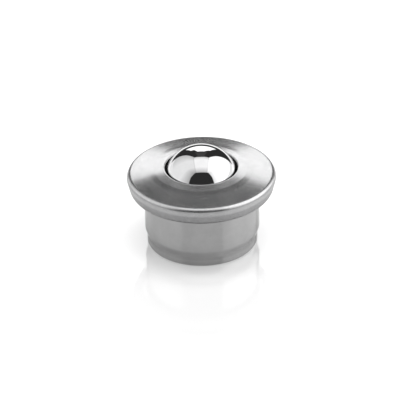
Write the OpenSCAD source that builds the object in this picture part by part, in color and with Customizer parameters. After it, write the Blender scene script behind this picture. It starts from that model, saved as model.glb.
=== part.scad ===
// Ball transfer unit: a load ball that rolls any way on a bed of small balls, in a pressed steel
// housing that drops into a round hole and rests by its flange. The base stands on z = 0.

/* [Load ball] */
// Diameter of the load ball
load_ball_d = 15.875; // [14:0.125:18]
// Height of the ball's top above the flange seat
load_ball_rise = 9.5; // [9:0.1:10]

/* [Support balls] */
// Diameter of each support ball
support_ball_d = 2.38125; // [2:0.03125:3]
// Rows of support balls round the middle one
support_rows = 4; // [2:1:4]
// Clearance between neighbouring support balls
support_gap = 0.05; // [0.02:0.01:0.2]
// Radial play of the load ball and the support balls between them
race_play = 0.08125; // [0.04:0.00125:0.2]

/* [Ball cup] */
// Wall of the cup behind the race
cup_wall = 0.75; // [0.5:0.05:1.5]
// Radial clearance between the cup and the housing
cup_gap = 0.05; // [0.02:0.01:0.3]
// Room between the cup and the housing's floor
cup_room = 1.6125; // [0.5:0.0125:4]
// Width of the step that the seal ring sits on
seal_step = 0.5; // [0.3:0.05:0.8]
// Chamfer on the cup's top edges
cup_chamfer = 0.6; // [0.5:0.05:0.8]

/* [Seal ring] */
// Height of the seal ring
seal_h = 1.2; // [0.8:0.1:1.4]
// Clearance between the seal ring and the load ball
seal_gap = 0.1; // [0.05:0.05:0.4]
// Radial clearance between the seal ring and the cup
seal_fit = 0.05; // [0.02:0.01:0.15]

/* [Housing] */
// Sheet thickness of the housing
housing_t = 0.8; // [0.6:0.05:1.2]
// Inside radius of the bend between the body and its flange
flange_bend = 0.3; // [0.1:0.05:0.6]
// Height of the foot, up to the full width of the body
foot_h = 3.5; // [3.2:0.05:6]
// Height over which the body narrows to its neck
neck_slope = 1.5; // [0.6:0.05:1.7]
// Depth of the neck below the body's surface
neck_depth = 0.48; // [0.3:0.02:0.8]
// Height of the band round the base, below the neck
base_band_h = 1.3; // [1:0.05:1.6]
// How far the band stands out of the neck
base_band_depth = 0.06; // [0.02:0.02:0.3]
// Outer radius of the base's edge
base_edge = 0.4; // [0.3:0.05:1.2]

/* [Cover] */
// Sheet thickness of the cover
cover_t = 0.6; // [0.5:0.05:0.9]
// How far the cover stands out past the body, all round
cover_overhang = 3.5; // [3:0.1:5]
// Height of the cover's outer corner above the flange seat
rim_h = 3.8; // [3.6:0.05:5]
// How far the crimped skirt tapers in at its lower edge
skirt_taper = 0.7; // [0.5:0.05:1]
// Height of the tapered part of the skirt
skirt_h = 2.8; // [2:0.1:2.9]
// Width of the hem that is folded under the flange
hem_w = 1.8; // [1.2:0.1:2.2]
// Inside radius of the bend between the skirt and its hem
hem_bend = 0.5; // [0.05:0.05:0.6]
// Inside radius of the rim's upper bend
rim_bend = 0.4; // [0.05:0.05:0.5]
// Width of the sloping band between the outer corner and the crown
band_w = 4.6; // [3:0.1:5]
// Rise of the band from the outer corner to the crown
band_rise = 0.82; // [0.4:0.02:1]
// Rise of the crown from the band to the lip
crown_rise = 0.63; // [0.4:0.01:1]
// Radius on the lip's upper edge
lip_round = 0.25; // [0.1:0.05:0.25]
// Thickness that the underside's bevel leaves at the lip
lip_edge = 0.2; // [0.15:0.05:0.4]
// Gap between the lip and the load ball
lip_gap = 0.6; // [0.3:0.05:1]
// Clearance between the cover's skirt and what it encloses
skirt_gap = 0.1; // [0.05:0.05:0.3]
// Clearance under the cover, above the cup and the seal ring
cover_gap = 0.05; // [0.02:0.01:0.2]

/* [Hidden] */
$fn = 96;
arc_step = 10;     // degrees between the points of a bend
cut_edge = 0.15;   // radius on the hem's cut edge
foot_bend = 0.2;   // inside radius of the bends in the foot
skirt_bend = 0.3;  // inside radius where the skirt begins to taper
crown_bend = 6;    // inside radius where the crown meets the band
past = 1;          // how far a cut runs past what it cuts
rounding = 0.001;  // allowance for rounding in the sums that count and compare
small_fn = 32;     // facets round a support ball

// Radii, from the load ball outwards
load_r = load_ball_d / 2;
support_r = support_ball_d / 2;
orbit_r = load_r + race_play / 2 + support_r;
race_r = load_r + race_play + support_ball_d;
cup_r = race_r + cup_wall;
body_r = cup_r + cup_gap + housing_t;
cover_r = body_r + cover_overhang;

// Heights, from the base upwards
cup_z = housing_t + cup_room;
ball_z = cup_z + cup_r;
seat_z = ball_z + load_r - load_ball_rise;
flange_z = seat_z + cover_t;
cup_rim_z = flange_z + housing_t;
rim_z = seat_z + rim_h;
band_z = rim_z + band_rise;
lip_z = band_z + crown_rise;

// What the lip, the seal and the cover leave room for
function ball_r_at(z) = sqrt(max(0, load_r * load_r - (z - ball_z) * (z - ball_z)));
band_slope = band_rise / band_w;
function under_cover_z(r) = rim_z + (cover_r - r) * band_slope - cover_t * norm([1, band_slope]) - cover_gap;
lip_r = ball_r_at(lip_z) + lip_gap;
skirt_slope = skirt_taper / skirt_h;
cover_wall = cover_t * norm([1, skirt_slope]);
function skirt_r(z) = cover_r - max(0, seat_z + skirt_h - z) * skirt_slope - cover_wall;
flange_r = skirt_r(flange_z) - hem_bend - skirt_gap;
cup_rim_r = skirt_r(cup_rim_z) - skirt_gap;
cup_top_z = under_cover_z(cup_rim_r - cup_chamfer);
seal_r = race_r + seal_step - seal_fit;
seal_z = under_cover_z(seal_r) - seal_h;
seal_bore_r = ball_r_at(seal_z) + seal_gap;

// Rows of support balls: each row sits one ball further up the race than the last
half_ball = asin((support_r + support_gap / 2) / orbit_r);
row_pitch = asin(2 * sin(half_ball));
function row_count(row) = row == 0 ? 1 : floor(180 / asin(sin(half_ball) / sin(row * row_pitch)) + rounding);
support_places = [
    for (row = [0:support_rows]) for (i = [0:row_count(row) - 1])
        [row * row_pitch, (i + row / 2) * 360 / row_count(row)]
];
support_count = len(support_places);
function support_name(i) = str("support_ball_", i < 9 ? "0" : "", i + 1);

// --- Outlines ---

function unit(v) = v / norm(v);
function left_of(v) = [-v[1], v[0]];
function xy(p) = [p[0], p[1]];
function turn(a, b) = a[0] * b[1] - a[1] * b[0];

// The points of one corner p, rounded to the radius r between its neighbours a and b
function corner(a, p, b, r) =
    let (to_a = unit(xy(a) - xy(p)), to_b = unit(xy(b) - xy(p)), half = acos(to_a * to_b) / 2)
    r <= 0 || half > 90 - rounding ? [xy(p)] :
    let (
        middle = xy(p) + unit(to_a + to_b) * r / sin(half),
        start = xy(p) + to_a * r / tan(half) - middle,
        sweep = (180 - 2 * half) * (turn(to_a, to_b) > 0 ? -1 : 1),
        steps = max(2, ceil(abs(sweep) / arc_step))
    )
    [for (i = [0:steps]) let (s = sweep * i / steps)
        middle + [start[0] * cos(s) - start[1] * sin(s), start[0] * sin(s) + start[1] * cos(s)]];

// A closed outline of points [x, y, radius], with each corner rounded
function rounded(points) = let (n = len(points))
    [for (i = [0:n - 1]) each corner(points[(i + n - 1) % n], points[i], points[(i + 1) % n], points[i][2])];

// Point i of the outer face of a sheet, moved through the sheet by the distance t
function through(path, i, t) = let (
        before = i > 0 ? left_of(unit(xy(path[i]) - xy(path[i - 1]))) : undef,
        after = i < len(path) - 1 ? left_of(unit(xy(path[i + 1]) - xy(path[i]))) : undef,
        a = is_undef(before) ? after : before,
        b = is_undef(after) ? before : after
    ) xy(path[i]) + (a + b) * t / (1 + a * b);

// 1 where the outer face turns left at point i, so that the sheet is inside the bend
function bends_in(path, i) = i == 0 || i == len(path) - 1 ? 0 :
    turn(xy(path[i]) - xy(path[i - 1]), xy(path[i + 1]) - xy(path[i])) > 0 ? 1 : 0;

// The section of a sheet of thickness t, left of the outer face's path of [x, y, inside bend radius].
// The ends' third value is the radius on their edges.
function sheet(path, t) = let (last = len(path) - 1) rounded(concat(
    [for (i = [0:last]) let (ends = i == 0 || i == last)
        [path[i][0], path[i][1], ends ? path[i][2] : path[i][2] + t * bends_in(path, i)]],
    [for (i = [last:-1:0]) let (ends = i == 0 || i == last, p = through(path, i, t))
        [p[0], p[1], ends ? path[i][2] : path[i][2] + t * (1 - bends_in(path, i))]]
));

// --- Sub-parts ---

// Deep-drawn cup with a necked foot and a flange turned out at its top
module housing() {
    neck_r = body_r - neck_depth;
    base_r = neck_r + base_band_depth;
    outer_face = [
        [0, 0, 0],
        [base_r, 0, base_edge - housing_t],
        [base_r, base_band_h, foot_bend],
        [neck_r, foot_h - neck_slope, foot_bend],
        [body_r, foot_h, foot_bend],
        [body_r, flange_z, flange_bend],
        [flange_r, flange_z, 0],
    ];
    color("#9a9a98") rotate_extrude() polygon(sheet(outer_face, housing_t));
}

// Hardened cup: a hemispherical race with a thick rim, held between the housing's flange and the cover
module ball_cup() {
    rim = [
        [0, cup_rim_z],
        [cup_rim_r, cup_rim_z],
        [cup_rim_r, cup_top_z - cup_chamfer],
        [cup_rim_r - cup_chamfer, cup_top_z],
        [0, cup_top_z],
    ];
    color("#6e7074") difference() {
        union() {
            translate([0, 0, ball_z]) sphere(r = cup_r);
            rotate_extrude() polygon(rim);
        }
        translate([0, 0, ball_z]) sphere(r = race_r);
        translate([0, 0, ball_z]) cylinder(h = cup_r + past, r = race_r);
        translate([0, 0, seal_z]) cylinder(h = cup_r + past, r = race_r + seal_step);
        translate([0, 0, cup_top_z]) cylinder(h = cup_r + past, r = cup_r + past);
    }
}

// Black ring that sits on the cup's step and wipes the load ball
module seal_ring() {
    color("#1c1c1c") translate([0, 0, seal_z]) difference() {
        cylinder(h = seal_h, r = seal_r);
        translate([0, 0, -past]) cylinder(h = seal_h + 2 * past, r = seal_bore_r);
    }
}

// Pressed cover: a shallow crown with a lip round the ball, and a skirt crimped under the flange
module cover() {
    hem_r = cover_r - skirt_taper;
    band_r = cover_r - band_w;
    outer_face = [
        [hem_r - hem_w, seat_z, cut_edge],
        [hem_r, seat_z, hem_bend],
        [cover_r, seat_z + skirt_h, skirt_bend],
        [cover_r, rim_z, rim_bend],
        [band_r, band_z, crown_bend],
        [lip_r, lip_z, lip_round],
    ];
    bevel_z = lip_z - lip_edge;
    color("#bdbdbb") difference() {
        rotate_extrude() polygon(sheet(outer_face, cover_t));
        translate([0, 0, bevel_z - cover_t]) cylinder(h = cover_t, r1 = lip_r + cover_t, r2 = lip_r);
    }
}

// Hardened steel ball that carries the load
module load_ball() {
    color("#dcdcdc") translate([0, 0, ball_z]) sphere(r = load_r);
}

// Support ball i in its place on the race
module support_ball(i) {
    place = support_places[i];
    color("#cfcfcf") translate([0, 0, ball_z]) rotate([0, 0, place[1]]) rotate([0, 180 - place[0], 0])
        translate([0, 0, orbit_r]) sphere(r = support_r, $fn = small_fn);
}

housing();
ball_cup();
seal_ring();
cover();
load_ball();
for (i = [0:support_count - 1])
    support_ball(i);
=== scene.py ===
"""Looks of the ball transfer unit.

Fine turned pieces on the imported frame, satin and mirror steel, a soft studio and the photo's camera.
"""

from math import cos, pi, radians, sin, tan

import bmesh
import bpy
from mathutils import Matrix, Vector


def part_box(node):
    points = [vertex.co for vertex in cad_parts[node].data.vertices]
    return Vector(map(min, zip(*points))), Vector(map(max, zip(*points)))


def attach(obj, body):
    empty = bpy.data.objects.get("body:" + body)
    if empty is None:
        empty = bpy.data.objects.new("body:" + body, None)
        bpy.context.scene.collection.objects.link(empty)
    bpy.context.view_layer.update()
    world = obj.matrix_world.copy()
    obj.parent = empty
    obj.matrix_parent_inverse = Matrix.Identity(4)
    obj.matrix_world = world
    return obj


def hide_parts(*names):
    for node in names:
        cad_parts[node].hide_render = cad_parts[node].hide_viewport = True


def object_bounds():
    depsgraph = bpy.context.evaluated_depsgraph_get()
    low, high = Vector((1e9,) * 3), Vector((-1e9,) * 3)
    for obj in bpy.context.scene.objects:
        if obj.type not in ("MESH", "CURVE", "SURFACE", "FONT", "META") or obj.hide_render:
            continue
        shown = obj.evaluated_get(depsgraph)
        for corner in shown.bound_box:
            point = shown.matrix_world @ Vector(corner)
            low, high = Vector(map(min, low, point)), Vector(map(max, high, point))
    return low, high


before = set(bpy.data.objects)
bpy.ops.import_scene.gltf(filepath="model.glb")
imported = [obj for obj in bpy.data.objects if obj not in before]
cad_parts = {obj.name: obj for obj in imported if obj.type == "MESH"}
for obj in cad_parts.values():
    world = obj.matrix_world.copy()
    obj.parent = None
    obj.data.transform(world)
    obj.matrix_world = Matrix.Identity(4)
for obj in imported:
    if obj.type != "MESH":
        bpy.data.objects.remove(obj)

cad_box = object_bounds()
MM = 0.001

# ---- Camera ----
AIM_HEIGHT = 10 * MM       # point on the axis that the camera is turned to
CAMERA_DISTANCE = 500 * MM
CAMERA_ELEVATION = radians(30.8)
CAMERA_ROLL = radians(-1.03)
LENS, SENSOR_WIDTH = 215.6, 36
SHIFT = (-0.0044, -0.0093)
CLIP_END = 10

# ---- Turned pieces ----
SAME_POINT = 1e-7          # points closer than this are one
NO_LENGTH = 1e-8           # an outline segment shorter than this has no direction
STRAIGHT_BELOW = radians(0.5)  # an outline that bends less than this at a point goes straight on
RING_STEPS = 256           # divisions round a turned piece
BALL_STEPS = 96            # divisions from pole to pole of the ball
SMOOTH_BELOW = radians(32) # corners of an outline gentler than this are shaded round
LONG_SEGMENT = 0.2 * MM    # outline segments longer than this keep their slope up to their ends
EDGE_HOLD = 0.02 * MM      # distance of the holding rings from a segment's ends

# ---- Marks on the cover: a band is a pair of heights, a ring is a pair of distances from the axis ----
CLOUD_SHARE = 0.35         # share of the cloudiness in the mottled tone, next to the flecks
SKIRT_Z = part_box("cover")[0].z + 0.2 * MM  # height in the hem's bend that the skirt's bands start from
SKIRT_SHADE = 0.46          # painted shade: the skirt's tone as a share of the crown's
SKIRT_SHADE_BAND = (SKIRT_Z + 3.15 * MM, SKIRT_Z + 3.4 * MM)  # it changes in the dark line under the rim
HIGHLIGHT_GAIN = 1.38             # painted highlight: tone in the middle of the bright band under the rim, as a share of the skirt's
HIGHLIGHT_BAND = (SKIRT_Z + 1.8 * MM, SKIRT_Z + 3.25 * MM)
HEM_SHADE = 0.80            # painted shade at the hem: its tone as a share of the skirt's
HEM_SHADE_BAND = (SKIRT_Z + 0.3 * MM, SKIRT_Z + 1.9 * MM)
HEM_SHADE_WANDER = 0.7 * MM      # how far the edge of the hem's painted shade wanders up and down with the creases
CRIMP = 0.25 * MM          # depth of the creases that crimping leaves round the hem
CRIMPED_BAND = (SKIRT_Z + 0.5 * MM, SKIRT_Z + 2.0 * MM)
SKIRT_BOW = 0.12 * MM      # how far the crimped skirt seems to bow out of its straight taper
BOWED_BAND = (SKIRT_Z, SKIRT_Z + 2.6 * MM)
CROWN_FLATTENING = 0.06 * MM  # how far the crown's slope eases off next to the lip
CROWN_RING = (7.2 * MM, 9.6 * MM)
RIM_WEAR = 0.12            # roughness that handling adds to the rim
WORN_RING = (14.4 * MM, 15.0 * MM)

# ---- Marks on drawn steel ----
NOISE_MEAN = 0.5
FOOT_BAND = (1.2 * MM, 1.6 * MM)  # where the painted shade of the neck begins, coming up from the foot
NECK_BAND = (3.1 * MM, 3.7 * MM)  # where the painted shade ends again, under the wall
STREAKED_RING = (2 * MM, 8 * MM)  # where the streaks come in, so that the middle of the base is plain

# ---- Studio ----
ROOM = 1.2                 # height of the ceiling light
FAR = 6.0                  # how far it reaches to the sides, the front and the back
SEAM_LEFT, SEAM_RIGHT = -0.325 * ROOM, 0.35 * ROOM  # its two seams
SEAM = 0.02 * ROOM         # half of a seam's width
SEAM_DIP = 0.8             # what is left of its radiance in a seam
LEFT, MIDDLE, RIGHT = 0.97, 1.15, 1.85  # its radiance beside and between the seams
FRONT_EDGE, BACK_EDGE = -0.62 * ROOM, 0.38 * ROOM  # planes of the flags
FLAG_FRONT_TURN, FLAG_BACK_TURN = radians(41), radians(37)  # half the angle that each spans from the axis
FRONT_DIM, BACK_DIM = 0.5, 0.65  # what is left of the ceiling's radiance next to the flags
FRONT_DIM_FROM, BACK_DIM_FROM = 0.4 * FRONT_EDGE, 0.5 * BACK_EDGE  # y from where it falls off to them
FRONT_DIM_TURN, BACK_DIM_TURN = radians(75), radians(115)  # and the turn from -Y, at their sides
FLAG_RADIANCE = 0.03
# Corners of the flags as (share of the half width, height).
FLAG_FRONT = ((-1, 0.16), (1, 0.16), (1, 0.62 * ROOM), (0.82, ROOM), (-0.70, ROOM), (-1, 0.62 * ROOM))
FLAG_BACK = ((-1, 0), (1.22, 0), (1.22, ROOM), (-1, ROOM))
# Lit opening and faint haze, which hang in front of the back flag: corners as directions from the ball,
# (turn from +Y towards +X, elevation) in degrees.
OPENING_GAP = 0.02
PANEL_RADIANCE, HAZE_RADIANCE = 1.5, 0.06
PANEL_BACK = (
    (-19, 13), (19, 13), (19, 34), (14.2, 38.6), (10.5, 43),
    (9, 45.5), (-9, 45.5), (-10.5, 43), (-13.2, 34), (-19, 31))
HAZE_BACK = ((-17, 46), (17, 46), (17, 69), (-17, 69))
WORLD_LEVEL, WORLD_WHITE = 0.6, 1.0  # the world's strength as light, and where it is seen

# ---- Floor: a ring is a pair of distances from the axis ----
FLOOR_SIZE = 4.0           # half of its side
FLOOR_GAP = 0.02 * MM      # how far it lies under the base
FLOOR_TONE, FLOOR_IOR = 0.66, 2.45
FLOOR_ROUGHNESS = (0.09, 0.5)  # near the object, and far away, where no card's edge may show
ROUGHER_RING = (40 * MM, 150 * MM)
FLOOR_GLOW = (0.28, 0.55)  # at the base and away from it: the weaker glow at the base keeps the real shadow and also paints extra shade round the base
GLOW_RING = (11 * MM, 20 * MM)
CLEAR_WITHIN = 11 * MM     # the floor is see-through under the base, for the views from below


# ---------------------------------------------------------------- geometry

def outline_of(node):
    """The outline of a turned CAD node as (radius, height) points, where its mesh crosses the XZ plane."""
    cut = bmesh.new()
    cut.from_mesh(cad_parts[node].data)
    bmesh.ops.remove_doubles(cut, verts=cut.verts, dist=SAME_POINT)
    for normal, both in (((0, 1, 0), True), ((1, 0, 0), False)):
        bmesh.ops.bisect_plane(
            cut, geom=cut.verts[:] + cut.edges[:] + cut.faces[:], dist=SAME_POINT,
            plane_co=(0, 0, 0), plane_no=normal, clear_inner=True, clear_outer=both)
    ends = [v for v in cut.verts if len(v.link_edges) == 1]
    vert = ends[0] if ends else cut.verts[:][0]
    points, edge = [], None
    while vert is not None:
        points.append((abs(vert.co.x), vert.co.z))
        onward = [e for e in vert.link_edges if e is not edge]
        vert.tag = True
        edge = onward[0] if onward else None
        vert = edge.other_vert(vert) if edge else None
        if vert is not None and vert.tag:
            vert = None
    cut.free()
    return without_straights(points)


def without_straights(points):
    """The outline without the points that lie on a straight run between their neighbours."""
    kept = []
    for before, here, after in zip(points[-1:] + points[:-1], points, points[1:] + points[:1]):
        into = Vector(here) - Vector(before)
        out = Vector(after) - Vector(here)
        if min(into.length, out.length) > NO_LENGTH and abs(into.angle_signed(out)) > STRAIGHT_BELOW:
            kept.append(here)
    return kept


def held(points):
    """The outline with points near the ends of its long segments, so smooth shading stays in the bends."""
    out = []
    for a, b in zip(points, points[1:] + points[:1]):
        a, b = Vector(a), Vector(b)
        out.append(tuple(a))
        length = (b - a).length
        if length > LONG_SEGMENT:
            out += [tuple(a.lerp(b, EDGE_HOLD / length)), tuple(b.lerp(a, EDGE_HOLD / length))]
    return out


def turned(name, outline, steps=RING_STEPS):
    """A mesh object made by turning an outline about Z. The outline is closed or ends on the axis."""
    mesh = bmesh.new()
    rings = []
    for r, z in outline:
        count = steps if r > SAME_POINT else 1
        rings.append([
            mesh.verts.new((r * cos(2 * pi * k / steps), r * sin(2 * pi * k / steps), z))
            for k in range(count)])
    for a, b in zip(rings, rings[1:] + rings[:1]):
        for k in range(steps):
            corners = (a[k % len(a)], a[(k + 1) % len(a)], b[(k + 1) % len(b)], b[k % len(b)])
            face = list(dict.fromkeys(corners))
            if len(face) > 2:
                mesh.faces.new(face)
    bmesh.ops.recalc_face_normals(mesh, faces=mesh.faces)
    data = bpy.data.meshes.new(name)
    mesh.to_mesh(data)
    mesh.free()
    for polygon in data.polygons:
        polygon.use_smooth = True
    data.set_sharp_from_angle(angle=SMOOTH_BELOW)
    return placed(name, data)


def placed(name, data):
    """A new object in the scene."""
    made = bpy.data.objects.new(name, data)
    bpy.context.scene.collection.objects.link(made)
    return made


# ---------------------------------------------------------------- materials

class Nodes:
    """The node tree of a material or world, with the few helpers that they share."""

    def __init__(self, owner):
        owner.use_nodes = True
        self.tree = owner.node_tree

    def node(self, kind, inputs=(), **settings):
        made = self.tree.nodes.new(kind)
        for key, value in settings.items():
            setattr(made, key, value)
        for key, value in dict(inputs).items():
            if isinstance(value, bpy.types.NodeSocket):
                self.tree.links.new(value, made.inputs[key])
            else:
                made.inputs[key].default_value = value
        return made

    def math(self, operation, a, b=0.0):
        return self.node("ShaderNodeMath", {0: a, 1: b}, operation=operation).outputs[0]

    def product(self, value, *factors):
        for factor in factors:
            value = self.math("MULTIPLY", value, factor)
        return value

    def between(self, factor, low, high, start=0.3, end=0.7):
        """From low to high as the factor goes from start to end. Noise lies mostly between 0.3 and 0.7."""
        return self.node("ShaderNodeMapRange", {
            "Value": factor, "From Min": start, "From Max": end, "To Min": low, "To Max": high}).outputs[0]

    def hump(self, factor, start, end):
        """From 0 up to 1 and back to 0, along a parabola, while the factor goes from start to end."""
        way = self.between(factor, 0.0, 1.0, start, end)
        return self.product(way, self.math("SUBTRACT", 1.0, way), 4.0)

    def seen(self):
        """1 for what shows the white background: camera, glossy and transmission rays."""
        rays = self.node("ShaderNodeLightPath").outputs
        either = self.math("MAXIMUM", rays["Is Camera Ray"], rays["Is Glossy Ray"])
        return self.math("MAXIMUM", either, rays["Is Transmission Ray"])


class Surface(Nodes):
    """A material on a Principled BSDF, whose plain sockets are set by name."""

    MIX_LOW, MIX_HIGH, MIX_RESULT = 6, 7, 2  # sockets of the Mix node when it mixes colours

    def __init__(self, name, **sockets):
        self.material = bpy.data.materials.new(name)
        super().__init__(self.material)
        self.shader = self.tree.nodes["Principled BSDF"]
        for socket, value in sockets.items():
            self.shader.inputs[socket.replace("_", " ")].default_value = value

    def place(self):
        """Position on the piece, in metres."""
        return self.node("ShaderNodeTexCoord").outputs["Object"]

    def xyz(self):
        return self.node("ShaderNodeSeparateXYZ", {0: self.place()}).outputs

    def from_axis(self):
        """Distance from the Z axis, in metres."""
        x, y, _ = self.xyz()
        return self.math("SQRT", self.math("ADD", self.math("MULTIPLY", x, x), self.math("MULTIPLY", y, y)))

    def round_place(self, across, along, up):
        """Position as (radius, angle, height).

        A unit is `across` millimetres of radius or `up` millimetres of height. A radian is `along` units.
        """
        x, y, z = self.xyz()
        return self.node("ShaderNodeCombineXYZ", {
            0: self.math("MULTIPLY", self.from_axis(), 1 / (across * MM)),
            1: self.math("MULTIPLY", self.math("ARCTAN2", y, x), along),
            2: self.math("MULTIPLY", z, 1 / (up * MM))}).outputs[0]

    def noise(self, vector, scale=1.0, detail=3.0, roughness=0.5):
        return self.node("ShaderNodeTexNoise", {
            "Vector": vector, "Scale": scale, "Detail": detail, "Roughness": roughness}).outputs["Fac"]

    def colour(self, noise, low, high):
        """A colour from low to high, by a noise."""
        ramp = self.node("ShaderNodeMix", {0: self.between(noise, 0.0, 1.0)}, data_type="RGBA")
        ramp.inputs[self.MIX_LOW].default_value = (*low, 1)
        ramp.inputs[self.MIX_HIGH].default_value = (*high, 1)
        return ramp.outputs[self.MIX_RESULT]

    def toned(self, colour, tone):
        return self.node("ShaderNodeVectorMath", {0: colour, 3: tone}, operation="SCALE").outputs[0]

    def bump(self, height, depth, normal=None):
        """Bump of the given depth in metres, on top of another bump."""
        inputs = {"Height": height, "Distance": depth, "Strength": 1.0}
        if normal is not None:
            inputs["Normal"] = normal
        return self.node("ShaderNodeBump", inputs).outputs[0]

    def drive(self, socket, value):
        self.tree.links.new(value, self.shader.inputs[socket])


def spun_steel(name, low, high, rough, groove, grain):
    """Satin steel with fine lines round the axis, a fine even grain, a crimped skirt, painted shade on the
    skirt and hem and a painted highlight under the rim.
    """
    s = Surface(name, Metallic=0.89)
    lines = s.noise(s.round_place(across=0.12, along=2.0, up=0.12), detail=4.0)
    cloud = s.noise(s.place(), scale=350.0, detail=4.0)
    fleck = s.noise(s.place(), scale=3000.0, detail=3.0, roughness=0.7)
    speck = s.noise(s.place(), scale=12000.0, detail=2.0)
    mottle = s.math("ADD", s.product(cloud, CLOUD_SHARE), s.product(fleck, 1 - CLOUD_SHARE))
    z = s.xyz()[2]
    creases = s.noise(s.round_place(across=0.5, along=14.0, up=1.0), detail=5.0, roughness=0.6)

    # Painted shade on the skirt and hem, and a painted highlight in the band under the rim, scale the
    # mottled colour.
    wandering = s.math("ADD", z, s.between(creases, -HEM_SHADE_WANDER, HEM_SHADE_WANDER))
    hem_shade = s.between(wandering, HEM_SHADE, 1.0, *HEM_SHADE_BAND)
    painted_highlight = s.math("ADD", 1.0, s.product(HIGHLIGHT_GAIN - 1, s.hump(z, *HIGHLIGHT_BAND)))
    tone = s.product(hem_shade, painted_highlight, s.between(z, SKIRT_SHADE, 1.0, *SKIRT_SHADE_BAND))
    s.drive("Base Color", s.toned(s.colour(mottle, low, high), tone))

    worn = s.between(s.from_axis(), 0.0, RIM_WEAR, *WORN_RING)
    s.drive("Roughness", s.math("ADD", s.between(speck, *rough), worn))

    crimped = s.product(creases, s.between(z, 1.0, 0.0, *CRIMPED_BAND))
    crown = s.between(s.from_axis(), 0.0, 1.0, *CROWN_RING)
    normal = None
    for height, depth in (
        (s.hump(z, *BOWED_BAND), SKIRT_BOW),
        (crimped, CRIMP),
        (crown, CROWN_FLATTENING),
        (lines, groove),
        (speck, grain),
    ):
        normal = s.bump(height, depth, normal)
    s.drive("Normal", normal)
    return s.material


def drawn_steel(name, low, high, rough, streak, grain, neck_shade=1.0):
    """Plated, deep drawn steel with faint streaks up the wall, a soft cloudiness and, where asked, painted
    shade on the neck.
    """
    s = Surface(name, Metallic=1.0)
    drawn = s.noise(s.round_place(across=2.0, along=40.0, up=6.0), detail=4.0)
    off_mean = s.math("SUBTRACT", drawn, NOISE_MEAN)
    faded = s.product(off_mean, s.between(s.from_axis(), 0.0, 1.0, *STREAKED_RING))
    streaks = s.math("ADD", faded, NOISE_MEAN)
    cloud = s.noise(s.place(), scale=260.0, detail=8.0, roughness=0.7)
    speck = s.noise(s.place(), scale=5000.0, detail=2.0)
    z = s.xyz()[2]
    # Painted shade: the neck between FOOT_BAND and NECK_BAND is darkened by the given factor.
    tone = s.math("MAXIMUM", s.between(z, neck_shade, 1.0, *NECK_BAND), s.between(z, 1.0, neck_shade, *FOOT_BAND))
    s.drive("Base Color", s.toned(s.colour(cloud, low, high), tone))
    s.drive("Roughness", s.between(streaks, *rough))
    s.drive("Normal", s.bump(speck, grain, s.bump(streaks, streak)))
    return s.material


def mirror_steel(name, low, high, rough):
    """Polished bearing steel with faint haze."""
    s = Surface(name, Metallic=1.0)
    haze = s.noise(s.place(), scale=500.0, detail=5.0)
    s.drive("Base Color", s.colour(haze, low, high))
    s.drive("Roughness", s.between(haze, *rough))
    return s.material


def felt(name, low, high, nap):
    """Dark, oiled felt."""
    s = Surface(name, Roughness=0.9, Sheen_Weight=0.15)
    fibres = s.noise(s.place(), scale=5000.0, detail=6.0, roughness=0.7)
    s.drive("Base Color", s.colour(fibres, low, high))
    s.drive("Normal", s.bump(fibres, nap))
    return s.material


cover_steel = spun_steel(
    "cover_steel", low=(0.55, 0.55, 0.555), high=(0.71, 0.71, 0.715), rough=(0.08, 0.24),
    groove=0.0003 * MM, grain=0.0002 * MM)
# The housing's neck gets painted shade, at 0.84 of the wall's tone.
housing_steel = drawn_steel(
    "housing_steel", low=(0.31, 0.31, 0.31), high=(0.35, 0.35, 0.35), rough=(0.12, 0.20),
    streak=0.001 * MM, grain=0.0005 * MM, neck_shade=0.84)
cup_steel = drawn_steel(
    "cup_steel", low=(0.38, 0.38, 0.39), high=(0.46, 0.46, 0.47), rough=(0.30, 0.42),
    streak=0.004 * MM, grain=0.001 * MM)
ball_steel = mirror_steel(
    "ball_steel", low=(0.78, 0.78, 0.785), high=(0.82, 0.82, 0.825), rough=(0.02, 0.035))
support_ball_steel = mirror_steel(
    "support_ball_steel", low=(0.70, 0.70, 0.71), high=(0.76, 0.76, 0.77), rough=(0.04, 0.08))
seal_felt = felt("seal_felt", low=(0.012, 0.012, 0.012), high=(0.03, 0.03, 0.03), nap=0.05 * MM)


# ---------------------------------------------------------------- pieces

def dress(piece, body, node, material):
    piece.data.materials.append(material)
    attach(piece, body)
    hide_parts(node)


for node, slot, material in (
    ("cover", "cover_steel", cover_steel),
    ("housing", "housing_steel", housing_steel),
    ("ball_cup", "cup_steel", cup_steel),
    ("seal_ring", "seal_felt", seal_felt),
):
    dress(turned("fine_" + node, held(outline_of(node))), "housing", node, material)

low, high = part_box("load_ball")
ball_centre, ball_r = (low + high) / 2, (high.z - low.z) / 2
half_circle = [
    (ball_r * sin(pi * k / BALL_STEPS) if 0 < k < BALL_STEPS else 0.0,
     ball_centre.z - ball_r * cos(pi * k / BALL_STEPS))
    for k in range(BALL_STEPS + 1)]
dress(
    turned("fine_load_ball", half_circle, 2 * BALL_STEPS),
    "load_ball", "load_ball", ball_steel)

for name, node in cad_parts.items():
    if name.startswith("support_ball"):
        for index in range(len(node.data.materials)):
            node.data.materials[index] = support_ball_steel


# ---------------------------------------------------------------- studio

def glowing(name, radiance=0.0):
    """A surface that only shines."""
    return Surface(name, Base_Color=(0, 0, 0, 1), Specular_IOR_Level=0.0, Roughness=1.0,
                   Emission_Color=(1, 1, 1, 1), Emission_Strength=radiance)


def flat(name, corners, surface, in_view=False):
    """A flat piece of the studio, with one face. Out of view, it shows only in the metal and the floor."""
    data = bpy.data.meshes.new(name)
    data.from_pydata(corners, [], [range(len(corners))])
    data.materials.append(surface.material)
    made = placed(name, data)
    made.visible_camera = in_view


def square(half, z):
    return [(-half, -half, z), (half, -half, z), (half, half, z), (-half, half, z)]


def upright(name, y, outline, radiance):
    """A card across the Y axis, with its outline as (x, z) in metres."""
    flat(name, [(x, y, z) for x, z in outline], glowing(name, radiance))


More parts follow.
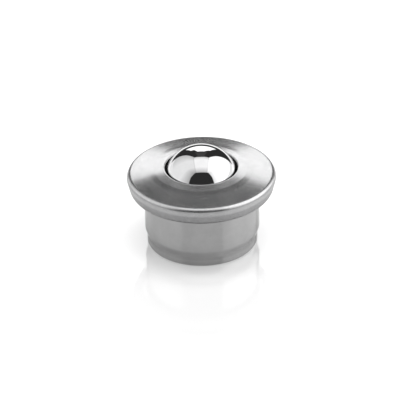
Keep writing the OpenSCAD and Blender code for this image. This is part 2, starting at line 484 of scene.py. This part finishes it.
def flag(name, y, turn, outline):
    """A dark card that spans the turn to both sides."""
    half = abs(y) * tan(turn)
    upright(name, y, [(share * half, z) for share, z in outline], FLAG_RADIANCE)


def opening(name, y, corners, radiance):
    """A lit card whose corners are given as directions from the ball."""
    upright(name, y, [
        (y * tan(radians(turn)), ball_centre.z + y * tan(radians(elevation)) / cos(radians(turn)))
        for turn, elevation in corners], radiance)


def soft_ceiling():
    """One wide light overhead: a dimmer left side, and soft edges beside the flags in front and behind."""
    s = glowing("soft_ceiling")
    x, y, _ = s.xyz()
    left = s.between(x, 0.0, 1.0, SEAM_LEFT - SEAM, SEAM_LEFT + SEAM)
    right = s.between(x, 0.0, 1.0, SEAM_RIGHT - SEAM, SEAM_RIGHT + SEAM)
    level = s.math("ADD", s.between(left, LEFT, MIDDLE, 0, 1), s.between(right, 0.0, RIGHT - MIDDLE, 0, 1))
    dips = [
        s.between(s.math("ABSOLUTE", s.math("SUBTRACT", x, seam)), SEAM_DIP, 1.0, 0, 2 * SEAM)
        for seam in (SEAM_LEFT, SEAM_RIGHT)]
    turned_away = s.math("ARCTAN2", s.math("ABSOLUTE", x), s.math("MULTIPLY", y, -1.0))
    front = s.math(
        "MAXIMUM",
        s.between(turned_away, FRONT_DIM, 1.0, FLAG_FRONT_TURN, FRONT_DIM_TURN),
        s.between(y, FRONT_DIM, 1.0, FRONT_EDGE, FRONT_DIM_FROM))
    back = s.math(
        "MAXIMUM",
        s.between(turned_away, 1.0, BACK_DIM, BACK_DIM_TURN, pi - FLAG_BACK_TURN),
        s.between(y, 1.0, BACK_DIM, BACK_DIM_FROM, BACK_EDGE))
    s.drive("Emission Strength", s.product(level, *dips, front, back))
    flat("soft_ceiling", square(FAR, ROOM), s)


def plain_world():
    world = bpy.data.worlds.new("studio")
    bpy.context.scene.world = world
    sky = Nodes(world)
    background = sky.tree.nodes["Background"]
    background.inputs["Color"].default_value = (1, 1, 1, 1)
    strength = sky.between(sky.seen(), WORLD_LEVEL, WORLD_WHITE, 0, 1)
    sky.tree.links.new(strength, background.inputs["Strength"])


def pale_floor():
    """A glossy pale floor that is white where it is seen, with the object's shadow and reflection."""
    s = Surface("floor", Base_Color=(FLOOR_TONE, FLOOR_TONE, FLOOR_TONE, 1), IOR=FLOOR_IOR,
                Emission_Color=(1, 1, 1, 1))
    away = s.from_axis()
    s.drive("Roughness", s.between(away, *FLOOR_ROUGHNESS, *ROUGHER_RING))
    # The glow is weaker next to the base: painted shade round the base, on top of the real shadow.
    s.drive("Emission Strength", s.product(s.seen(), s.between(away, *FLOOR_GLOW, *GLOW_RING)))
    below = s.node("ShaderNodeNewGeometry").outputs["Backfacing"]
    clear = s.node("ShaderNodeMixShader", {
        0: s.math("MAXIMUM", below, s.math("LESS_THAN", away, CLEAR_WITHIN)),
        1: s.shader.outputs[0],
        2: s.node("ShaderNodeBsdfTransparent").outputs[0]})
    s.tree.links.new(clear.outputs[0], s.tree.nodes["Material Output"].inputs["Surface"])
    flat("floor", square(FLOOR_SIZE, cad_box[0].z - FLOOR_GAP), s, in_view=True)


soft_ceiling()
flag("flag_front", FRONT_EDGE, FLAG_FRONT_TURN, FLAG_FRONT)
flag("flag_back", BACK_EDGE, FLAG_BACK_TURN, FLAG_BACK)
opening("panel_back", BACK_EDGE - OPENING_GAP, PANEL_BACK, PANEL_RADIANCE)
opening("haze_back", BACK_EDGE - OPENING_GAP, HAZE_BACK, HAZE_RADIANCE)
plain_world()
pale_floor()


# ---------------------------------------------------------------- camera

def photo_camera():
    data = bpy.data.cameras.new("camera")
    data.lens, data.sensor_width = LENS, SENSOR_WIDTH
    data.shift_x, data.shift_y = SHIFT
    data.clip_end = CLIP_END
    camera = placed("camera", data)
    back = Vector((0, -cos(CAMERA_ELEVATION), sin(CAMERA_ELEVATION)))
    facing = (-back).to_track_quat("-Z", "Y").to_matrix().to_4x4()
    camera.matrix_world = (
        Matrix.Translation(Vector((0, 0, AIM_HEIGHT)) + back * CAMERA_DISTANCE)
        @ facing @ Matrix.Rotation(CAMERA_ROLL, 4, "Z"))
    bpy.context.scene.camera = camera


photo_camera()
bpy.context.scene.view_settings.view_transform = "Standard"
